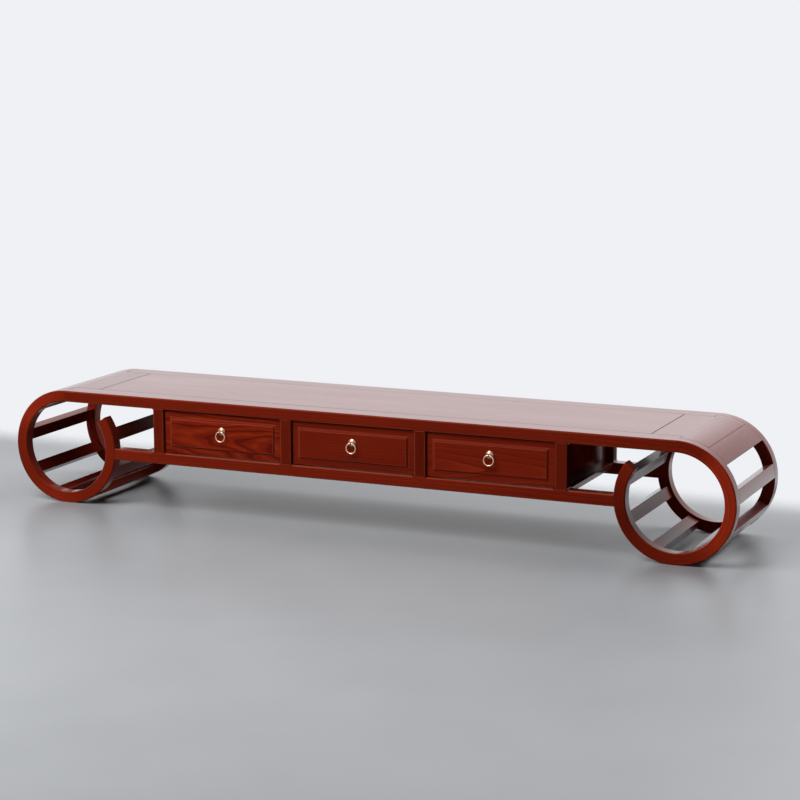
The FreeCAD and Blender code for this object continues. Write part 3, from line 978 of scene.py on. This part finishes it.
def grey_floor(name):
    """A plain floor with a dull sheen, a little uneven in tone, that thins away behind and far off."""
    material, tree = new_material(name)
    place = add_node(tree, "ShaderNodeTexCoord").outputs["Object"]
    cloud = add_node(tree, "ShaderNodeTexNoise", {
        "Vector": place, "Scale": 1 / floor_mottle, "Detail": 3.0})
    tone = add_node(tree, "ShaderNodeValToRGB", {"Fac": cloud.outputs["Fac"]})
    set_ramp(tone, [(0.2, "#85878A"), (0.8, "#8D8F92")])
    shader = add_node(tree, "ShaderNodeBsdfPrincipled", {
        "Base Color": tone.outputs["Color"], "Roughness": 0.36, "IOR": 1.8})
    reach = add_node(tree, "ShaderNodeVectorMath", {0: place}, operation="LENGTH").outputs["Value"]
    behind = add_node(tree, "ShaderNodeSeparateXYZ", {"Vector": place}).outputs["Y"]
    fades = []
    for value, (start, end) in ((reach, floor_fade), (behind, floor_end)):
        fades.append(add_node(tree, "ShaderNodeMapRange", {
            "Value": value, "From Min": start, "From Max": end}, interpolation_type="SMOOTHSTEP"))
    fade = add_node(tree, "ShaderNodeMath", {
        0: fades[0].outputs["Result"], 1: fades[1].outputs["Result"]}, operation="MAXIMUM")
    nothing = add_node(tree, "ShaderNodeBsdfTransparent")
    thinned = add_node(tree, "ShaderNodeMixShader", {
        0: fade.outputs["Value"], 1: shader.outputs["BSDF"], 2: nothing.outputs["BSDF"]})
    add_node(tree, "ShaderNodeOutputMaterial", {"Surface": thinned.outputs["Shader"]})
    return material


ground = bmesh.new()
bmesh.ops.create_grid(ground, x_segments=1, y_segments=1, size=floor_size / 2)
floor_mesh = bpy.data.meshes.new("floor")
ground.to_mesh(floor_mesh)
ground.free()
floor_mesh.materials.append(grey_floor("grey floor"))
floor = bpy.data.objects.new("floor", floor_mesh)
bpy.context.scene.collection.objects.link(floor)


def soft_lamp(name, place, size, power):
    """A square lamp that looks at the cabinet."""
    data = bpy.data.lights.new(name, "AREA")
    data.shape = "SQUARE"
    data.size = size
    data.energy = power
    lamp = bpy.data.objects.new(name, data)
    lamp.location = place
    lamp.rotation_euler = (Vector(lamp_target) - Vector(place)).to_track_quat("-Z", "Y").to_euler()
    bpy.context.scene.collection.objects.link(lamp)


soft_lamp("front lamp", place=(-1.4, -2.2, 3.1), size=2.6, power=195)
soft_lamp("rear lamp", place=(1.3, 1.3, 3.0), size=2.4, power=95)

sky = bpy.data.worlds.new("pale sky")
bpy.context.scene.world = sky
sky.use_nodes = True
sky_tree = sky.node_tree
sky_tree.nodes.clear()
path = add_node(sky_tree, "ShaderNodeLightPath")
seen = add_node(sky_tree, "ShaderNodeMath", {
    0: path.outputs["Is Camera Ray"], 1: path.outputs["Is Glossy Ray"]}, operation="MAXIMUM")
seen = add_node(sky_tree, "ShaderNodeMath", {
    0: seen.outputs["Value"], 1: path.outputs["Is Transmission Ray"]}, operation="MAXIMUM")
way = add_node(sky_tree, "ShaderNodeTexCoord").outputs["Generated"]
axes = add_node(sky_tree, "ShaderNodeSeparateXYZ", {"Vector": way}).outputs
rightward = add_node(sky_tree, "ShaderNodeMath", {0: axes["X"], 1: 0.0}, operation="MAXIMUM")
above = add_node(sky_tree, "ShaderNodeMath", {
    0: rightward.outputs["Value"], 1: horizon_fall, 2: axes["Z"]}, operation="MULTIPLY_ADD")
rise = add_node(sky_tree, "ShaderNodeMapRange", {
    "Value": above.outputs["Value"], "From Min": horizon[0], "From Max": horizon[1]})
pale = add_node(sky_tree, "ShaderNodeMath", {
    0: rise.outputs["Result"], 1: path.outputs["Is Camera Ray"]}, operation="MAXIMUM")
tint = add_node(sky_tree, "ShaderNodeMix", {
    "Factor": pale.outputs["Value"], "A": colour(ground_colour), "B": colour(sky_colour)}, data_type="RGBA")
shown = add_node(sky_tree, "ShaderNodeBackground", {"Color": tint.outputs["Result"], "Strength": 1.0})
lighting = add_node(sky_tree, "ShaderNodeBackground", {
    "Color": colour(sky_colour), "Strength": sky_light})
chosen = add_node(sky_tree, "ShaderNodeMixShader", {
    0: seen.outputs["Value"], 1: lighting.outputs["Background"], 2: shown.outputs["Background"]})
add_node(sky_tree, "ShaderNodeOutputWorld", {"Surface": chosen.outputs["Shader"]})
bpy.context.scene.view_settings.view_transform = "Standard"
print("floor, two lamps and sky")

# %% [markdown]
# The camera stands to the right of the cabinet and above it, far off, with a long lens. Its place and
# turn were found by matching points of the cabinet to where they lie in the picture.

# %% Camera
camera_place = (2.634, -5.778, 1.514)
camera_yaw = math.radians(24.044)
camera_pitch = math.radians(10.477)
camera_roll = math.radians(-0.198)
lens = 102.0

camera_data = bpy.data.cameras.new("camera")
camera_data.lens = lens
camera_data.sensor_width = 36.0
camera = bpy.data.objects.new("camera", camera_data)
camera.matrix_world = (Matrix.Translation(camera_place) @ Matrix.Rotation(camera_yaw, 4, "Z")
                       @ Matrix.Rotation(math.pi / 2 - camera_pitch, 4, "X")
                       @ Matrix.Rotation(camera_roll, 4, "Z"))
bpy.context.scene.collection.objects.link(camera)
bpy.context.scene.camera = camera
print("camera with a lens of %.0f mm" % lens)
